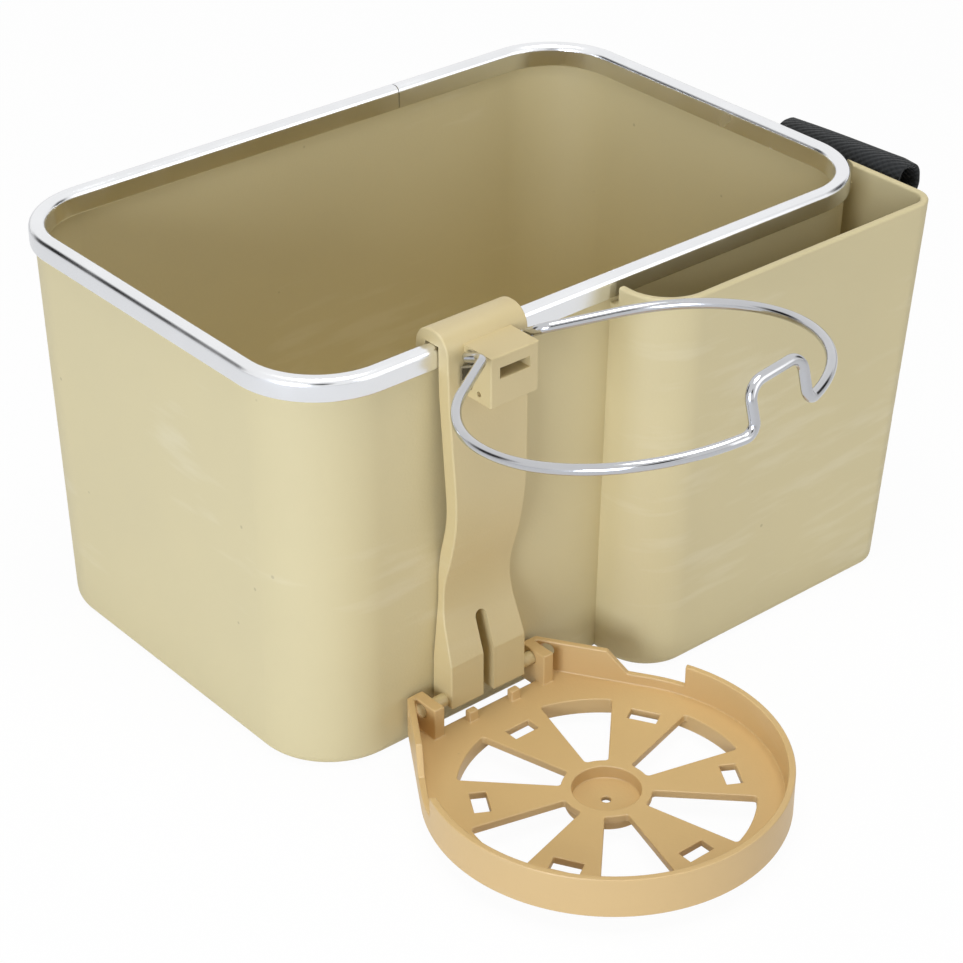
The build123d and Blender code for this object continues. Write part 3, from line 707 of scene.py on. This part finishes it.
class ORGANIZER_OT_holder(bpy.types.Operator):
    """Hook, arm, steel leaf and spoked tray of the drink holder"""

    bl_idname = "organizer.holder"
    bl_label = "Drink holder"

    def execute(self, context):
        finish = context.scene.organizer_finish
        arm = moulding("holder_arm", "hook_arm", finish.crisp)
        arm_skin = moulded("Satin polypropylene, beige", finish.arm_hue, finish.grain, gloss=0.42, wear=0.06)
        dress(arm, arm_skin, "organizer", "holder_plastic", "holder_arm")
        tray = moulding("cup_tray", "spoked_tray", finish.crisp)
        round_off(tray, finish.crisp, finish.tray_edge)
        tray_skin = moulded("Satin polypropylene, tan", finish.tray_hue, finish.grain, gloss=0.4, wear=0.06)
        dress(tray, tray_skin, "tray", "holder_plastic", "cup_tray")
        leaf = moulding("detent_spring", "steel_leaf", finish.crisp)
        leaf_skin = plated("Bright spring steel", finish.leaf_hue, low=0.22, high=0.38, mark=4 * MM)
        dress(leaf, leaf_skin, "organizer", "spring_steel", "detent_spring")
        return {"FINISHED"}


class ORGANIZER_OT_ring(bpy.types.Operator):
    """Bent wire ring"""

    bl_idname = "organizer.ring"
    bl_label = "Wire ring"

    def execute(self, context):
        sizes = context.scene.organizer_ring
        path, lean = ring_path(sizes)
        piece = build("wire_ring", tube(path, lean, sizes.wire / 2, columns=28))
        skin = plated("Plated steel wire", sizes.hue, low=0.1, high=0.2, mark=6 * MM)
        dress(piece, skin, "ring", "plated_wire", "cup_ring")
        return {"FINISHED"}


class ORGANIZER_OT_stage(bpy.types.Operator):
    """Pale floor, soft studio light and the camera"""

    bl_idname = "organizer.stage"
    bl_label = "Stage"

    def execute(self, context):
        scene = context.scene
        settings = scene.organizer_stage
        scene.view_settings.view_transform = "Standard"
        self.floor(settings)
        self.room(scene, settings)
        for name, eye, size, setting, tint in LAMPS:
            self.lamp(name, eye, size, getattr(settings, setting), tint)
        for name, eye, width in CARDS:
            self.card(name, eye, width)
        self.camera(scene, settings)
        return {"FINISHED"}

    @staticmethod
    def shows_white(tree):
        """One where the ray comes from the camera, a mirror or glass, and nought for light on the object."""
        path = add(tree, "ShaderNodeLightPath").outputs
        seen = maths(tree, "MAXIMUM", path["Is Camera Ray"], path["Is Glossy Ray"])
        return maths(tree, "MAXIMUM", seen, path["Is Transmission Ray"])

    def floor(self, settings):
        """White floor that keeps a soft shadow."""
        mesh = bpy.data.meshes.new("floor")
        points = [(x * FLOOR_HALF, y * FLOOR_HALF, -FLOOR_DROP) for x, y in SQUARE]
        mesh.from_pydata(points, [], [(0, 1, 2, 3)])
        floor = place("floor", mesh)
        material, tree = cleared("White studio floor")
        paint = add(tree, "ShaderNodeBsdfDiffuse", {"Color": linear("#F6F6F6")})
        glow = add(tree, "ShaderNodeEmission", {"Color": (1, 1, 1, 1), "Strength": 1.0})
        mirrored = add(tree, "ShaderNodeLightPath").outputs["Is Glossy Ray"]
        level = spread(tree, mirrored, 0.0, 1.0, settings.floor_white, settings.floor_mirrored)
        share = maths(tree, "MULTIPLY", self.shows_white(tree), level)
        both = add(tree, "ShaderNodeMixShader", {0: share, 1: paint.outputs[0], 2: glow.outputs[0]})
        add(tree, "ShaderNodeOutputMaterial", {"Surface": both.outputs[0]})
        mesh.materials.append(material)

    def room(self, scene, settings):
        """White room: plain white where it is seen, and an even soft light on the object."""
        world = bpy.data.worlds.new("White room")
        world.use_nodes = True
        tree = world.node_tree
        tree.nodes.clear()
        level = spread(tree, self.shows_white(tree), 0.0, 1.0, settings.ambient, 1.0)
        back = add(tree, "ShaderNodeBackground", {"Color": (1, 1, 1, 1), "Strength": level})
        add(tree, "ShaderNodeOutputWorld", {"Surface": back.outputs[0]})
        scene.world = world

    @staticmethod
    def turned(eye, aim):
        """Rotation that looks from one point to another with the picture upright."""
        return (Vector(aim) - Vector(eye)).to_track_quat("-Z", "Y").to_euler()

    def lamp(self, name, eye, size, power, tint):
        """Square soft light aimed at the object."""
        data = bpy.data.lights.new(name, "AREA")
        data.energy = power
        data.color = tint
        data.size = size
        lamp = bpy.data.objects.new(name, data)
        lamp.location = eye
        lamp.rotation_euler = self.turned(eye, LAMP_AIM)
        bpy.context.scene.collection.objects.link(lamp)

    def card(self, name, eye, width):
        """Round dark card with a soft edge that only the bright metal sees, for its dark lines."""
        mesh = bpy.data.meshes.new(name)
        middle = np.array(eye)
        ahead = unit(np.array(CARD_AIM) - middle)
        across = unit(np.cross(ahead, (0, 0, 1))) * width / 2
        upward = np.cross(across, ahead)
        sides = np.array(SQUARE)
        points = middle + sides[:, :1] * across + sides[:, 1:] * upward
        mesh.from_pydata(points.tolist(), [], [(0, 1, 2, 3)])
        card = place(name, mesh)
        material, tree = cleared("Dark studio card")
        where = add(tree, "ShaderNodeTexCoord").outputs["Object"]
        offset = add(tree, "ShaderNodeVectorMath", {0: where, 1: eye}, operation="SUBTRACT")
        away = add(tree, "ShaderNodeVectorMath", {0: offset.outputs[0]}, operation="LENGTH")
        clear = spread(tree, away.outputs["Value"], 0.2 * width, 0.5 * width)
        paint = add(tree, "ShaderNodeBsdfDiffuse", {"Color": linear("#1C1B1A")})
        glass = add(tree, "ShaderNodeBsdfTransparent")
        both = add(tree, "ShaderNodeMixShader", {0: clear, 1: paint.outputs[0], 2: glass.outputs[0]})
        add(tree, "ShaderNodeOutputMaterial", {"Surface": both.outputs[0]})
        mesh.materials.append(material)
        card.visible_camera = False
        card.visible_diffuse = False
        card.visible_shadow = False
        card.visible_transmission = False

    def camera(self, scene, settings):
        """Camera at the photograph's place."""
        data = bpy.data.cameras.new("camera")
        data.sensor_fit = "HORIZONTAL"
        data.sensor_width = 36.0
        data.lens = settings.lens
        data.clip_start = 0.01
        camera = bpy.data.objects.new("camera", data)
        camera.location = settings.eye
        camera.rotation_euler = self.turned(settings.eye, settings.aim)
        scene.collection.objects.link(camera)
        scene.camera = camera


class ORGANIZER_PT_sidebar(bpy.types.Panel):
    """Sizes, colours and the operators that build the organizer"""

    bl_idname = "ORGANIZER_PT_sidebar"
    bl_label = "Car Organizer"
    bl_space_type = "VIEW_3D"
    bl_region_type = "UI"
    bl_category = "Organizer"

    def draw(self, context):
        for operator in OPERATORS:
            self.layout.operator(operator.bl_idname)
        for name, group in GROUPS.items():
            box = self.layout.box()
            box.label(text=name.replace("organizer_", "").capitalize())
            for field in group.__annotations__:
                box.prop(getattr(context.scene, name), field)


OPERATORS = (
    ORGANIZER_OT_bin,
    ORGANIZER_OT_trim,
    ORGANIZER_OT_strap,
    ORGANIZER_OT_holder,
    ORGANIZER_OT_ring,
    ORGANIZER_OT_stage,
)


def register():
    for group in GROUPS.values():
        bpy.utils.register_class(group)
    for name, group in GROUPS.items():
        setattr(bpy.types.Scene, name, PointerProperty(type=group))
    for operator in OPERATORS:
        bpy.utils.register_class(operator)
    bpy.utils.register_class(ORGANIZER_PT_sidebar)


def unregister():
    bpy.utils.unregister_class(ORGANIZER_PT_sidebar)
    for operator in reversed(OPERATORS):
        bpy.utils.unregister_class(operator)
    for name in GROUPS:
        delattr(bpy.types.Scene, name)
    for group in reversed(list(GROUPS.values())):
        bpy.utils.unregister_class(group)


def main():
    register()
    bpy.ops.organizer.bin()
    bpy.ops.organizer.trim()
    bpy.ops.organizer.strap()
    bpy.ops.organizer.holder()
    bpy.ops.organizer.ring()
    bpy.ops.organizer.stage()
    bpy.context.view_layer.update()


if __name__ == "__main__":
    main()
